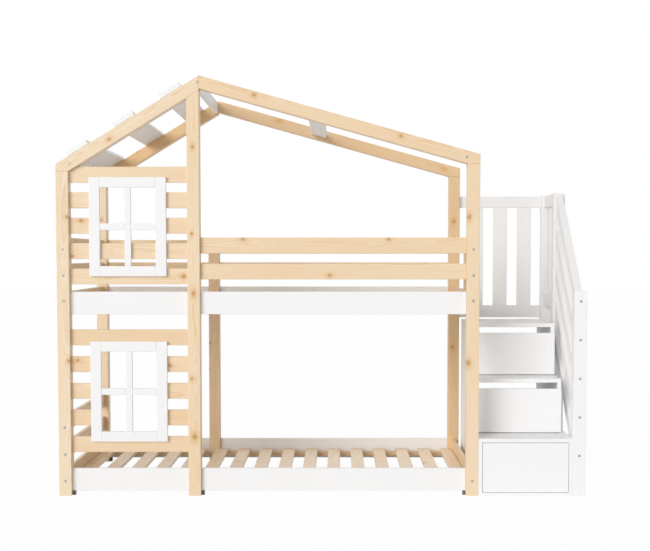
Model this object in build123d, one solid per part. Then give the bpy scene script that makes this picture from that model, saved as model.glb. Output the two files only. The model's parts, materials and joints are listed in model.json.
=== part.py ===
"""House-shaped bunk bed with a gabled frame, two window walls and a drawer staircase.

Millimetres, +Z up. +X runs along the bed towards the stairs and +Y from the front to the back.
Every piece is placed from the bed's front left corner and moved to the centred origin on export.
"""

import os
from math import atan, cos, degrees, tan

from build123d import *

# Mattress and the room left round it
mattress_length = 2000.0
mattress_width = 900.0
length_allowance = 22.0
width_allowance = 10.0

# Timber sections
post_size = 62.0
rail_thickness = 20.0
edge_round = 2.5
panel_round = 1.0
board_width = 79.0

# Heights of the two bunks
lower_rail_bottom = 23.0
upper_rail_bottom = 912.0
side_rail_height = 113.0
slat_drop = 55.0
guard_top = 1295.0
guard_low_top = 1165.0

# Slatted bases
slat_count = 16
slat_width = 68.0
slat_thickness = 18.0
slat_end_gap = 2.0
cleat_width = 40.0
cleat_height = 25.0

# Gabled frames
middle_post_left = 650.0
apex_height = 2092.0
eave_left_height = 1656.5
eave_right_height = 1707.0

# Roof boards and cross rails
roof_board_width = 118.0
roof_board_thickness = 25.0
roof_board_start = 75.0
roof_board_pitch = 270.0
roof_board_count = 3
cross_rail_height = 60.0
eave_rail_left = 58.0
cross_board_width = 86.0
cross_board_thickness = 22.0
cross_board_centre = 1293.0

# Window walls
upper_wall_lowest = 1101.0
upper_wall_pitch = 126.4
lower_wall_lowest = 257.5
lower_wall_pitch = 134.5
wall_board_count = 5
upper_cut_boards = (2, 3)
lower_cut_boards = (1, 2, 3)
window_left = 163.0
window_width = 383.0
window_thickness = 18.0
upper_window_bottom = 1102.0
upper_window_height = 492.0
lower_window_bottom = 273.0
lower_window_height = 504.0
window_stile = 53.0
window_rail = 51.0
muntin_width = 33.0
muntin_thickness = 15.0
board_end_reveal = 4.0

# End boards at the head and the short guard beside the stairs
lower_end_tops = (404.0, 268.0)
entry_guard_depth = 361.0
entry_stile_width = 62.0

# Stairs
stair_width = 474.0
upper_stair_width = 450.0
stair_depth = 817.0
panel = 20.0
base_thickness = 15.0
stretcher_height = 60.0
tread_heights = (289.0, 569.0, 844.0)
step_run = 195.0

# Drawers
drawer_front_thickness = 18.0
drawer_side_thickness = 12.0
drawer_bottom_thickness = 6.0
drawer_side_height = 150.0
first_drawer_length = 500.0
upper_drawer_length = 400.0
front_side_gap = 2.0
front_lift = 4.0
finger_gap = 30.0
slide_side_gap = 3.0
running_gap = 0.3

# Guard of the stairs
guard_front_height = 1030.0
guard_back_height = 1546.0
guard_middle_front = 575.0
handrail_thickness = 35.0
handrail_width = 62.0
handrail_rise = 508.0
slope_rail_count = 5
slope_rail_drop = 194.0
platform_rail_height = 65.0
back_low_rail_bottom = 846.0
side_low_rail_bottom = 916.0
low_rail_height = 70.0
guard_slat_width = 81.0
guard_slat_thickness = 14.0
back_slat_count = 3
side_slat_count = 2

# Connector bolts, barrel nuts and foot pads
bolt_radius = 3.0
bolt_head_radius = 6.5
bolt_head_height = 3.0
bolt_grip = 30.0
bolt_clearance = 0.3
key_radius = 2.5
key_depth = 2.0
nut_radius = 5.0
nut_length = 14.0
nut_setback = 20.0
board_bolt_rise = 20.0
lower_rail_bolt_rise = 52.0
upper_rail_bolt_rise = 68.0
side_bolt_rise = 30.0
slope_bolt_drop = 52.0
slope_bolt_grip = 18.0
ridge_bolt_drop = 20.0
foot_pad_length = 15.0

# Places that follow from the sizes above
setback = (post_size - rail_thickness) / 2
inner_face = setback + rail_thickness
bed_length = mattress_length + length_allowance + 2 * inner_face
bed_depth = mattress_width + width_allowance + 2 * inner_face
back_post_front = bed_depth - post_size
right_post_left = bed_length - post_size
middle_post_right = middle_post_left + post_size
stair_left = bed_length
guard_left = stair_left + stair_width
overall_length = guard_left + post_size

roof_left_angle = atan((apex_height - eave_left_height) / middle_post_right)
roof_right_angle = atan((apex_height - eave_right_height) / (bed_length - middle_post_right))


def roof_left_top(x):
    """Height of the upper edge of the left rafters at x."""
    return eave_left_height + x * tan(roof_left_angle)


def roof_left_under(x):
    """Height of the lower edge of the left rafters at x."""
    return roof_left_top(x) - post_size / cos(roof_left_angle)


def roof_right_top(x):
    """Height of the upper edge of the right rafters at x."""
    return apex_height - (x - middle_post_right) * tan(roof_right_angle)


def roof_right_under(x):
    """Height of the lower edge of the right rafters at x."""
    return roof_right_top(x) - post_size / cos(roof_right_angle)


def board(x0, x1, y0, y1, z0, z1, round_by=edge_round):
    """A sawn piece between two corners, with its edges eased."""
    solid = Pos((x0 + x1) / 2, (y0 + y1) / 2, (z0 + z1) / 2) * Box(x1 - x0, y1 - y0, z1 - z0)
    return fillet(solid.edges(), round_by) if round_by else solid


def side_profile(points, y0, y1, round_by=edge_round):
    """A piece drawn in the XZ plane and as deep as y0 to y1, with the edges of its faces eased."""
    outline = Polyline(*points, close=True)
    face = make_face(Plane.XZ * outline)
    solid = Pos(0, y1, 0) * extrude(face, y1 - y0)
    ends = solid.faces().filter_by(Axis.Y)
    return fillet(ends.edges(), round_by) if round_by else solid


def end_profile(points, x0, x1, round_by=edge_round):
    """A piece drawn in the YZ plane and as long as x0 to x1, with the edges of its faces eased."""
    outline = Polyline(*points, close=True)
    face = make_face(Plane.YZ * outline)
    solid = Pos(x0, 0, 0) * extrude(face, x1 - x0)
    ends = solid.faces().filter_by(Axis.X)
    return fillet(ends.edges(), round_by) if round_by else solid


def rod_y(x, z, y0, y1, radius):
    """A round rod or hole along Y."""
    return Pos(x, (y0 + y1) / 2, z) * Rot(90, 0, 0) * Cylinder(radius, abs(y1 - y0))


def rod_x(y, z, x0, x1, radius):
    """A round rod or hole along X."""
    return Pos((x0 + x1) / 2, y, z) * Rot(0, 90, 0) * Cylinder(radius, abs(x1 - x0))


# Every node is a list of solids under its name
nodes = {}


def add(name, *solids):
    nodes.setdefault(name, []).extend(solids)


def drill(name, *tools):
    """Cuts the tools out of every solid of a node that they reach."""
    nodes[name] = [solid - list(tools) for solid in nodes[name]]


# Posts
left_post_top = roof_left_under(post_size)
right_post_top = roof_right_under(right_post_left)


def middle_post_front():
    points = (
        (middle_post_left, 0),
        (middle_post_right, 0),
        (middle_post_right, roof_left_under(middle_post_right)),
        (middle_post_left, roof_left_under(middle_post_left)),
    )
    return side_profile(points, 0, post_size)


for row, y0 in (("front", 0.0), ("back", back_post_front)):
    y1 = y0 + post_size
    add(f"post_{row}_left", board(0, post_size, y0, y1, 0, left_post_top))
    add(f"post_{row}_right", board(right_post_left, bed_length, y0, y1, 0, right_post_top))
add("post_front_middle", middle_post_front())
add(
    "post_back_middle",
    board(middle_post_left, middle_post_right, back_post_front, bed_depth, 0, guard_top),
)

# Rafters: the left one carries on over the middle post and the right one butts against it
left_rafter = (
    (0, left_post_top),
    (post_size, left_post_top),
    (middle_post_right, roof_left_under(middle_post_right)),
    (middle_post_right, apex_height),
    (0, eave_left_height),
)
right_rafter = (
    (middle_post_right, roof_right_under(middle_post_right)),
    (right_post_left, right_post_top),
    (bed_length, right_post_top),
    (bed_length, eave_right_height),
    (middle_post_right, apex_height),
)
for row, y0 in (("front", 0.0), ("back", back_post_front)):
    add(f"rafter_{row}_left", side_profile(left_rafter, y0, y0 + post_size))
    add(f"rafter_{row}_right", side_profile(right_rafter, y0, y0 + post_size))

# Long rails, in two lengths on each side because the middle posts stand between them
bays = ((post_size, middle_post_left), (middle_post_right, right_post_left))
rail_rows = (("front", setback), ("back", bed_depth - inner_face))
levels = (("lower", lower_rail_bottom), ("upper", upper_rail_bottom))
for level, z0 in levels:
    for row, y0 in rail_rows:
        for x0, x1 in bays:
            add(
                f"side_rails_{level}_{row}",
                board(x0, x1, y0, y0 + rail_thickness, z0, z0 + side_rail_height),
            )

# Rails across both ends of each bunk
end_places = (("left", setback), ("right", bed_length - inner_face))
for level, z0 in levels:
    for end, x0 in end_places:
        add(
            f"end_rail_{level}_{end}",
            board(x0, x0 + rail_thickness, post_size, back_post_front, z0, z0 + side_rail_height),
        )

# Slatted bases: cleats inside the long rails, and slats that clear the posts
cleat_rows = (inner_face, bed_depth - inner_face - cleat_width)
slat_front = post_size + slat_end_gap
slat_back = back_post_front - slat_end_gap
first_slat = inner_face + slat_end_gap
last_slat = bed_length - inner_face - slat_end_gap - slat_width
slat_pitch = (last_slat - first_slat) / (slat_count - 1)
for level, z0 in levels:
    slat_top = z0 + side_rail_height - slat_drop
    cleat_top = slat_top - slat_thickness
    for y0 in cleat_rows:
        for x0, x1 in bays:
            add(
                f"slat_cleats_{level}",
                board(x0, x1, y0, y0 + cleat_width, cleat_top - cleat_height, cleat_top),
            )
    for k in range(slat_count):
        x0 = first_slat + k * slat_pitch
        add(
            f"slats_{level}",
            board(x0, x0 + slat_width, slat_front, slat_back, cleat_top, slat_top),
        )

# Guard rails of the upper bunk
long_bay = bays[1]
for top in (guard_top, guard_low_top):
    z0 = top - board_width
    add("guard_rails_front", board(*long_bay, setback, inner_face, z0, top))
    for x0, x1 in bays:
        add(
            "guard_rails_back",
            board(x0, x1, bed_depth - inner_face, bed_depth - setback, z0, top),
        )

# Boards across the head end, above each bunk's end rail
end_board_tops = (guard_top, guard_low_top, *lower_end_tops)
for top in end_board_tops:
    name = "end_boards_upper" if top > upper_rail_bottom else "end_boards_lower"
    add(name, board(setback, inner_face, post_size, back_post_front, top - board_width, top))

# Short guard between the front post and the way in from the stairs
entry_rail_end = entry_guard_depth - entry_stile_width
guard_x0 = bed_length - inner_face
guard_x1 = bed_length - setback
for top in (guard_top, guard_low_top):
    add(
        "entry_guard",
        board(guard_x0, guard_x1, post_size, entry_rail_end, top - board_width, top),
    )
upper_rail_top = upper_rail_bottom + side_rail_height
add(
    "entry_guard",
    board(guard_x0, guard_x1, entry_rail_end, entry_guard_depth, upper_rail_top, guard_top),
)


# Window walls between the left and middle front posts
def wall_board(x0, x1, centre):
    """One wall board, with its corner cut where it runs under the rafter."""
    z0 = centre - board_width / 2
    z1 = centre + board_width / 2
    if z1 <= roof_left_under(x0):
        return board(x0, x1, setback, inner_face, z0, z1)
    meets = (z1 - roof_left_under(0)) / tan(roof_left_angle)
    points = ((x0, z0), (x1, z0), (x1, z1), (meets, z1), (x0, roof_left_under(x0)))
    return side_profile(points, setback, inner_face)


opening_left = window_left + window_stile - board_end_reveal
opening_right = window_left + window_width - window_stile + board_end_reveal
walls = (
    ("upper", upper_wall_lowest, upper_wall_pitch, upper_cut_boards),
    ("lower", lower_wall_lowest, lower_wall_pitch, lower_cut_boards),
)
for level, lowest, pitch, cut_boards in walls:
    for k in range(wall_board_count):
        centre = lowest + k * pitch
        if k in cut_boards:
            add(
                f"wall_boards_{level}",
                wall_board(post_size, opening_left, centre),
                wall_board(opening_right, middle_post_left, centre),
            )
        else:
            add(f"wall_boards_{level}", wall_board(post_size, middle_post_left, centre))


# Windows: stiles run the full height, rails fit between them, and a cross of muntins fills the frame
def window(level, z0, height):
    x0 = window_left
    x1 = window_left + window_width
    y0 = setback - window_thickness
    y1 = setback
    z1 = z0 + height
    pane_left = x0 + window_stile
    pane_right = x1 - window_stile
    pane_bottom = z0 + window_rail
    pane_top = z1 - window_rail
    add(
        f"window_{level}_frame",
        board(x0, pane_left, y0, y1, z0, z1),
        board(pane_right, x1, y0, y1, z0, z1),
        board(pane_left, pane_right, y0, y1, z0, pane_bottom),
        board(pane_left, pane_right, y0, y1, pane_top, z1),
    )
    m0 = (y0 + y1 - muntin_thickness) / 2
    m1 = m0 + muntin_thickness
    upright_left = (x0 + x1 - muntin_width) / 2
    upright_right = upright_left + muntin_width
    bar_bottom = (z0 + z1 - muntin_width) / 2
    bar_top = bar_bottom + muntin_width
    add(
        f"window_{level}_muntins",
        board(upright_left, upright_right, m0, m1, pane_bottom, pane_top),
        board(pane_left, upright_left, m0, m1, bar_bottom, bar_top),
        board(upright_right, pane_right, m0, m1, bar_bottom, bar_top),
    )


window("upper", upper_window_bottom, upper_window_height)
window("lower", lower_window_bottom, lower_window_height)

# Roof boards laid across the left rafters
roof_left_plane = Pos(0, 0, eave_left_height) * Rot(0, -degrees(roof_left_angle), 0)
for k in range(roof_board_count):
    along = roof_board_start + k * roof_board_pitch
    plank = board(along, along + roof_board_width, 0, bed_depth, 0, roof_board_thickness)
    add("roof_boards", roof_left_plane * plank)

# Rails between the two frames: one at the eave, one at the ridge and a flat one on the right slope
ridge_rail_left = middle_post_right - rail_thickness
for name, x0 in (("eave_rail", eave_rail_left), ("ridge_rail", ridge_rail_left)):
    z1 = roof_left_top(x0)
    add(
        name,
        board(x0, x0 + rail_thickness, post_size, back_post_front, z1 - cross_rail_height, z1),
    )
cross_board_height = roof_right_top(cross_board_centre) - post_size / 2 / cos(roof_right_angle)
cross_board_place = Pos(cross_board_centre, 0, cross_board_height)
add(
    "roof_cross_board",
    cross_board_place
    * Rot(0, degrees(roof_right_angle), 0)
    * board(
        -cross_board_width / 2,
        cross_board_width / 2,
        post_size,
        back_post_front,
        -cross_board_thickness / 2,
        cross_board_thickness / 2,
    ),
)

# Staircase boxes, each shorter at the front than the one below it and all level at the back
step_names = ("stair_tread_lower", "stair_tread_upper", "stair_platform")
step_widths = (stair_width, upper_stair_width, upper_stair_width)
step_floors = (0.0, *tread_heights[:-1])
steps = []
for k, name in enumerate(step_names):
    y0 = k * step_run
    x0 = stair_left
    x1 = stair_left + step_widths[k]
    z0 = step_floors[k]
    under = tread_heights[k] - panel
    add("stair_sides_left", board(x0, x0 + panel, y0, stair_depth, z0, under, panel_round))
    add("stair_sides_right", board(x1 - panel, x1, y0, stair_depth, z0, under, panel_round))
    add(name, board(x0, x1, y0, stair_depth, under, tread_heights[k], panel_round))
    deck = z0 if k else base_thickness
    add(
        "stair_stretchers",
        board(
            x0 + panel,
            x1 - panel,
            stair_depth - panel,
            stair_depth,
            deck,
            deck + stretcher_height,
            panel_round,
        ),
    )
    steps.append((x0, x1, y0, deck, under))
add(
    "stair_base",
    board(
        stair_left + panel,
        stair_left + stair_width - panel,
        0,
        stair_depth,
        0,
        base_thickness,
        panel_round,
    ),
)


# Drawers: the lowest front is inset and the two above lie over the edges of their boxes
def drawer(name, x0, x1, y0, y1, z0, z1, inner_left, inner_right, deck, length):
    """One drawer, from its front between the corners given and the room inside its box."""
    add(f"{name}_front", board(x0, x1, y0, y1, z0, z1, panel_round))
    left = inner_left + slide_side_gap
    right = inner_right - slide_side_gap
    bottom = deck + running_gap
    top = bottom + drawer_side_height
    end = y1 + length
    floor = bottom + drawer_bottom_thickness
    side = drawer_side_thickness
    add(
        f"{name}_box",
        board(left, left + side, y1, end, bottom, top, panel_round),
        board(right - side, right, y1, end, bottom, top, panel_round),
        board(left + side, right - side, end - side, end, bottom, top, panel_round),
        board(left + side, right - side, y1, end - side, bottom, floor, 0),
    )


drawer_names = ("drawer_lower", "drawer_middle", "drawer_upper")
for k, name in enumerate(drawer_names):
    x0, x1, y0, deck, under = steps[k]
    inner_left = x0 + panel
    inner_right = x1 - panel
    if k == 0:
        drawer(
            name,
            inner_left + front_side_gap,
            inner_right - front_side_gap,
            y0,
            y0 + drawer_front_thickness,
            deck + front_side_gap,
            under - front_side_gap,
            inner_left,
            inner_right,
            deck,
            first_drawer_length,
        )
    else:
        drawer(
            name,
            x0 + front_side_gap,
            x1 - front_side_gap,
            y0 - running_gap - drawer_front_thickness,
            y0 - running_gap,
            deck + front_lift,
            under - finger_gap,
            inner_left,
            inner_right,
            deck,
            upper_drawer_length,
        )

# Posts of the stair guard
guard_middle_back = guard_middle_front + post_size
guard_posts = (
    ("front", 0.0, guard_front_height),
    ("middle", guard_middle_front, guard_back_height),
    ("back", back_post_front, guard_back_height),
)
for name, y0, height in guard_posts:
    add(f"guard_post_{name}", board(guard_left, overall_length, y0, y0 + post_size, 0, height))

# Handrail and the rails parallel to it, between the front and middle posts
handrail_left = guard_left + (post_size - handrail_thickness) / 2
handrail_right = handrail_left + handrail_thickness
handrail_angle = atan(handrail_rise / (guard_middle_front - post_size))
handrail_upright = handrail_width / cos(handrail_angle)
for k in range(slope_rail_count):
    z1 = guard_front_height - k * slope_rail_drop
    points = (
        (post_size, z1 - handrail_upright),
        (guard_middle_front, z1 + handrail_rise - handrail_upright),
        (guard_middle_front, z1 + handrail_rise),
        (post_size, z1),
    )
    name = "slope_rails" if k else "handrail"
    add(name, end_profile(points, handrail_left, handrail_right))

# Level guard beside the platform, between the middle and back posts
top_rail_bottom = guard_back_height - platform_rail_height
side_low_rail_top = side_low_rail_bottom + low_rail_height
for z0, z1 in ((top_rail_bottom, guard_back_height), (side_low_rail_bottom, side_low_rail_top)):
    add(
        "side_guard",
        board(handrail_left, handrail_right, guard_middle_back, back_post_front, z0, z1),
    )
side_span = back_post_front - guard_middle_back
side_gap = (side_span - side_slat_count * guard_slat_width) / (side_slat_count + 1)
side_slat_left = (handrail_left + handrail_right - guard_slat_thickness) / 2
for k in range(side_slat_count):
    y0 = guard_middle_back + side_gap + k * (guard_slat_width + side_gap)
    add(
        "side_guard",
        board(
            side_slat_left,
            side_slat_left + guard_slat_thickness,
            y0,
            y0 + guard_slat_width,
            side_low_rail_top,
            top_rail_bottom,
        ),
    )

# Guard across the back of the platform
back_rail_front = bed_depth - inner_face
back_low_rail_top = back_low_rail_bottom + low_rail_height
for z0, z1 in ((top_rail_bottom, guard_back_height), (back_low_rail_bottom, back_low_rail_top)):
    add(
        "back_guard",
        board(stair_left, guard_left, back_rail_front, back_rail_front + rail_thickness, z0, z1),
    )
back_gap = (stair_width - back_slat_count * guard_slat_width) / (back_slat_count + 1)
back_slat_front = back_rail_front + (rail_thickness - guard_slat_thickness) / 2
for k in range(back_slat_count):
    x0 = stair_left + back_gap + k * (guard_slat_width + back_gap)
    add(
        "back_guard",
        board(
            x0,
            x0 + guard_slat_width,
            back_slat_front,
            back_slat_front + guard_slat_thickness,
            back_low_rail_top,
            top_rail_bottom,
        ),
    )

# Pads that carry the ends of the lower long rails
pad_places = (post_size, middle_post_right, right_post_left - foot_pad_length)
for row, y0 in rail_rows:
    for x0 in pad_places:
        add(
            "foot_pads",
            board(
                x0,
                x0 + foot_pad_length,
                y0,
                y0 + rail_thickness,
                0,
                lower_rail_bottom,
                panel_round,
            ),
        )


# Fasteners
def bolt(reach, head_height=bolt_head_height):
    """A bolt along +Z whose head ends at the origin, with a socket for a hexagon key."""
    head = Pos(0, 0, -head_height / 2) * Cylinder(bolt_head_radius, head_height)
    outer = head.edges().group_by(Axis.Z)[0]
    head = fillet(outer, 1.0)
    key = Pos(0, 0, -head_height) * extrude(RegularPolygon(key_radius, 6), key_depth)
    return head - key + Pos(0, 0, reach / 2) * Cylinder(bolt_radius, reach)


def bolt_y(x, z, face, inward, reach):
    """A bolt along Y, entered at the face and pointing inward (+1 or -1)."""
    turn = Rot(-90 * inward, 0, 0)
    return Pos(x, face, z) * turn * bolt(reach)


bolt_hole = bolt_radius + bolt_clearance
nut_hole = nut_radius + bolt_clearance
bolt_reach = post_size + bolt_grip
nut_depth = post_size + nut_setback
row_faces = (("front", 0.0, 1), ("back", bed_depth, -1))


def fasten_end(row, end, x, z, target):
    """A bolt through a post along Y into the end of a board, with a barrel nut in the board."""
    face, inward = {name: (y, way) for name, y, way in row_faces}[row]
    tip = face + inward * bolt_reach
    nut_y = face + inward * nut_depth
    bore = rod_y(x, z, min(face, tip), max(face, tip), bolt_hole)
    toward = 1 if end == "left" else -1
    nut_far = x - toward * nut_length / 2
    nut_near = x + toward * nut_length / 2
    open_face = x + toward * rail_thickness
    pocket_far = nut_far - toward * bolt_clearance
    pocket = rod_x(nut_y, z, min(pocket_far, open_face), max(pocket_far, open_face), nut_hole)
    nut = rod_x(nut_y, z, min(nut_far, nut_near), max(nut_far, nut_near), nut_radius)
    drill(f"post_{row}_{end}", bore)
    drill(target, bore, pocket)
    add("bolts", bolt_y(x, z, face, inward, bolt_reach))
    add("barrel_nuts", nut - bore)


left_axis = post_size / 2
right_axis = bed_length - post_size / 2
rail_bolts = (
    ("lower", lower_rail_bottom + lower_rail_bolt_rise),
    ("upper", upper_rail_bottom + upper_rail_bolt_rise),
)
for row, face, inward in row_faces:
    for end, x in (("left", left_axis), ("right", right_axis)):
        for level, z in rail_bolts:
            fasten_end(row, end, x, z, f"end_rail_{level}_{end}")
    for top in end_board_tops:
        name = "end_boards_upper" if top > upper_rail_bottom else "end_boards_lower"
        fasten_end(row, "left", left_axis, top - board_width + board_bolt_rise, name)
for top in (guard_top, guard_low_top):
    z = top - board_width + board_bolt_rise
    fasten_end("front", "right", right_axis, z, "entry_guard")


def fasten_plain(x, z, face, inward, reach, targets):
    """A bolt along Y through everything named, without a barrel nut."""
    tip = face + inward * reach
    bore = rod_y(x, z, min(face, tip), max(face, tip), bolt_hole)
    for target in targets:
        drill(target, bore)
    add("bolts", bolt_y(x, z, face, inward, reach))


# Bolts of the roof rails, which enter through the rafters, and of the right eave
eave_bolt_x = eave_rail_left + rail_thickness / 2
eave_bolt_z = roof_left_top(eave_rail_left) - cross_rail_height / 2
ridge_bolt_x = ridge_rail_left + rail_thickness / 2
ridge_bolt_z = roof_left_top(ridge_rail_left) - ridge_bolt_drop
right_eave_x = bed_length - eave_bolt_x
right_eave_z = roof_right_top(right_eave_x) - post_size / 2 / cos(roof_right_angle)
for row, face, inward in row_faces:
    rafter = f"rafter_{row}_left"
    fasten_plain(eave_bolt_x, eave_bolt_z, face, inward, bolt_reach, (rafter, "eave_rail"))
    fasten_plain(ridge_bolt_x, ridge_bolt_z, face, inward, bolt_reach, (rafter, "ridge_rail"))
    short_reach = post_size - bolt_grip
    fasten_plain(
        right_eave_x, right_eave_z, face, inward, short_reach, (f"rafter_{row}_right",)
    )

# Bolts of the handrail and its parallel rails, through the front guard post
guard_axis = guard_left + post_size / 2
for k in range(slope_rail_count):
    z = guard_front_height - k * slope_rail_drop - slope_bolt_drop
    name = "slope_rails" if k else "handrail"
    fasten_plain(guard_axis, z, 0.0, 1, post_size + slope_bolt_grip, ("guard_post_front", name))

# Everything moves to the centred origin, one file for each node
os.makedirs("parts", exist_ok=True)
centred = Pos(-overall_length / 2, -bed_depth / 2, 0)
for name, solids in nodes.items():
    placed = [centred * solid for solid in solids]
    shape = placed[0] if len(placed) == 1 else Compound(children=placed)
    shape.label = name
    export_step(shape, f"parts/{name}.step")
print(len(nodes), "nodes")
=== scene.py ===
"""Finishes, small fittings, light and camera for a gabled bunk bed with a drawer staircase."""

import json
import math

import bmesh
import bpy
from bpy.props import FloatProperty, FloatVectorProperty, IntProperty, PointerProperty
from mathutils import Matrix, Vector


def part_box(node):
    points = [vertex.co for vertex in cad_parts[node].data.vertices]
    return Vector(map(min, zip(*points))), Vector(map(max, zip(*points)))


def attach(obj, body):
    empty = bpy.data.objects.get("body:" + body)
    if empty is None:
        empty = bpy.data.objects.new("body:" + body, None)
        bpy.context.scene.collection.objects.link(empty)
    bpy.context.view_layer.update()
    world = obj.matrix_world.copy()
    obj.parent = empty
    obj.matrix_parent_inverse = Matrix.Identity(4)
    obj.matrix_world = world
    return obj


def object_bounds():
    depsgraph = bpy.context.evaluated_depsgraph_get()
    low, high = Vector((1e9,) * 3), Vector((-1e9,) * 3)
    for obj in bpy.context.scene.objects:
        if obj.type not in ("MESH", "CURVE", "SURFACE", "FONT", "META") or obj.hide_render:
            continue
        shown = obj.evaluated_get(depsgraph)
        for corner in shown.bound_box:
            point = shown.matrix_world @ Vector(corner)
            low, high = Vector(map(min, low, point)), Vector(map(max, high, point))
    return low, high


bl_info = {
    "name": "House bed",
    "version": (1, 0, 0),
    "blender": (4, 5, 0),
    "location": "View3D > Sidebar > House bed",
    "description": "Pine, paint and fittings for a gabled bunk bed with drawer stairs",
    "category": "Object",
}

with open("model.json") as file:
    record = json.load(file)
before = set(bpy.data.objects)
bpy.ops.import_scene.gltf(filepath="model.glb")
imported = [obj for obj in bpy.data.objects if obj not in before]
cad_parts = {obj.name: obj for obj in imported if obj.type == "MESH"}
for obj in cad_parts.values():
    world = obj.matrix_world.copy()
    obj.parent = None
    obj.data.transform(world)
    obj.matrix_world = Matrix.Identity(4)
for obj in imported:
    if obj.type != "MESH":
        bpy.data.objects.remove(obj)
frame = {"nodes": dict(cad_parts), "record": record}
cad_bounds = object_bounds()

SLOTS = {entry["node"]: entry["material_slot"] for entry in frame["record"]["subparts"]}

# Width of a post and of a rafter, in metres
POST_WIDTH = 0.062


def roof_slope(rafter):
    """Angle of a rafter, which runs from an upright cut at the apex to a post's inner edge."""
    low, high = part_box(rafter)
    run = high[0] - low[0] - POST_WIDTH
    rise = high[2] - low[2]
    # rise * cos(slope) = run * sin(slope) + POST_WIDTH, solved for tan(slope)
    square = run**2 - POST_WIDTH**2
    root = math.sqrt((rise * run) ** 2 - square * (rise**2 - POST_WIDTH**2))
    return math.atan((rise * run - root) / square)


# How the grain lies in each kind of board: along, across the wide face, through the thickness
ACROSS = {
    "along_x": (0, 2, 1),
    "along_x_flat": (0, 1, 2),
    "along_y": (1, 2, 0),
    "along_y_flat": (1, 0, 2),
    "along_z": (2, 0, 1),
}

# Spacing for a node of one board, so wide that no second board turns up
LONE_BOARD = 10.0

# Node prefix, lie of the grain, spacing between a node's boards and width of a board, in metres
PINE_BOARDS = (
    ("post", "along_z", LONE_BOARD, POST_WIDTH),
    ("rafter", "along_x", LONE_BOARD, POST_WIDTH),
    ("wall_boards_upper", "along_x", 0.1264, 0.079),
    ("wall_boards_lower", "along_x", 0.1345, 0.079),
    ("guard_rails", "along_x", 0.130, 0.079),
    ("end_boards_upper", "along_y", 0.130, 0.079),
    ("end_boards_lower", "along_y", 0.136, 0.079),
    ("entry_guard", "along_y", 0.130, 0.079),
    ("end_rail", "along_y", LONE_BOARD, 0.113),
    ("slat_cleats", "along_x_flat", 0.870, 0.040),
    ("slats", "along_y_flat", 0.130, 0.068),
)

# How far each node leans to the warmer, darker colour, from 0 to 1, where it isn't middling. The
# strong lean of the back right post and the back rafters is partly painted shade for the back of
# the bed and partly the boards' own tone; on the other nodes the lean is the boards' own tone.
TONE_AND_SHADE = {
    "post_front_left": 0.02,
    "post_front_middle": 0.05,
    "post_front_right": 0.12,
    "post_back_left": 0.15,
    "post_back_middle": 0.15,
    "post_back_right": 0.95,
    "rafter_front_left": 0.12,
    "rafter_front_right": 0.25,
    "rafter_back_left": 0.95,
    "rafter_back_right": 0.60,
    "wall_boards_upper": 0.12,
    "wall_boards_lower": 0.45,
    "guard_rails_front": 0.20,
    "end_boards_lower": 0.40,
    "slats_lower": 0.0,
    "slats_upper": 0.0,
}
MIDDLING_TONE = 0.35

# First and last board of a row that the window parts into two pieces, counted from the lowest
CUT_BOARDS = {"wall_boards_upper": (2.0, 3.0), "wall_boards_lower": (1.0, 3.0)}
NOT_CUT = (99.0, 99.0)

# Knots on each node: place along the bed, height and radius, in metres from the front left foot
KNOTS = {
    "post_front_left": ((0.054, 1.397, 0.008), (0.056, 0.679, 0.009)),
    "post_front_middle": (
        (0.680, 1.741, 0.009),
        (0.673, 1.312, 0.008),
        (0.681, 1.017, 0.011),
        (0.670, 0.590, 0.008),
        (0.682, 0.298, 0.012),
    ),
    "post_front_right": ((2.051, 1.397, 0.010), (2.050, 0.670, 0.011)),
    "post_back_left": ((0.034, 1.410, 0.008), (0.043, 0.664, 0.009)),
    "post_back_middle": ((0.655, 0.699, 0.007), (0.652, 0.547, 0.006)),
    "post_back_right": ((2.070, 1.401, 0.010), (2.066, 0.672, 0.010)),
    "rafter_front_left": ((0.269, 1.779, 0.009),),
    "rafter_front_right": ((0.985, 1.996, 0.009), (1.710, 1.795, 0.008)),
    "rafter_back_left": ((0.240, 1.806, 0.009),),
    "guard_rails_front": ((0.927, 1.287, 0.009), (1.653, 1.287, 0.009), (1.357, 1.106, 0.009)),
    "wall_boards_upper": ((0.121, 1.378, 0.010), (0.630, 1.101, 0.011), (0.075, 1.202, 0.007)),
    "wall_boards_lower": ((0.095, 0.680, 0.009), (0.558, 0.655, 0.009)),
}


def color_setting(name, description, default):
    """A colour."""
    return FloatVectorProperty(
        name=name, description=description, default=default, subtype="COLOR", min=0.0, max=1.0
    )


def share_setting(name, description, default):
    """A share from 0 to 1."""
    return FloatProperty(
        name=name, description=description, default=default, subtype="FACTOR", min=0.0, max=1.0
    )


def length_setting(name, description, default, least=0.001):
    """A length in metres."""
    return FloatProperty(
        name=name, description=description, default=default, unit="LENGTH", min=least
    )


def angle_setting(name, description, degrees):
    """An angle, given in degrees and kept in radians."""
    return FloatProperty(
        name=name, description=description, default=math.radians(degrees), subtype="ANGLE"
    )


def strength_setting(name, description, default):
    """The strength of a light."""
    return FloatProperty(name=name, description=description, default=default, min=0.0)


class PineFinish(bpy.types.PropertyGroup):
    """Colours and scale of the lacquered pine."""

    early: color_setting(
        "Early wood", "Colour of the pale part of each growth ring", (0.875, 0.735, 0.550)
    )
    late: color_setting(
        "Late wood", "Colour of the dark line of each growth ring", (0.770, 0.520, 0.280)
    )
    blush: color_setting(
        "Blush", "Warmer colour that some boards lean towards", (0.790, 0.535, 0.290)
    )
    heart: color_setting(
        "Knot heart", "Amber colour in and around a knot", (0.690, 0.390, 0.130)
    )
    bark: color_setting(
        "Knot edge", "Colour of the dark line round a knot", (0.360, 0.170, 0.055)
    )
    ring_width: length_setting("Ring width", "Distance between growth rings", 0.0042, 0.0005)
    gloss: share_setting("Lacquer", "Weight of the clear lacquer over the wood", 0.12)


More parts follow.
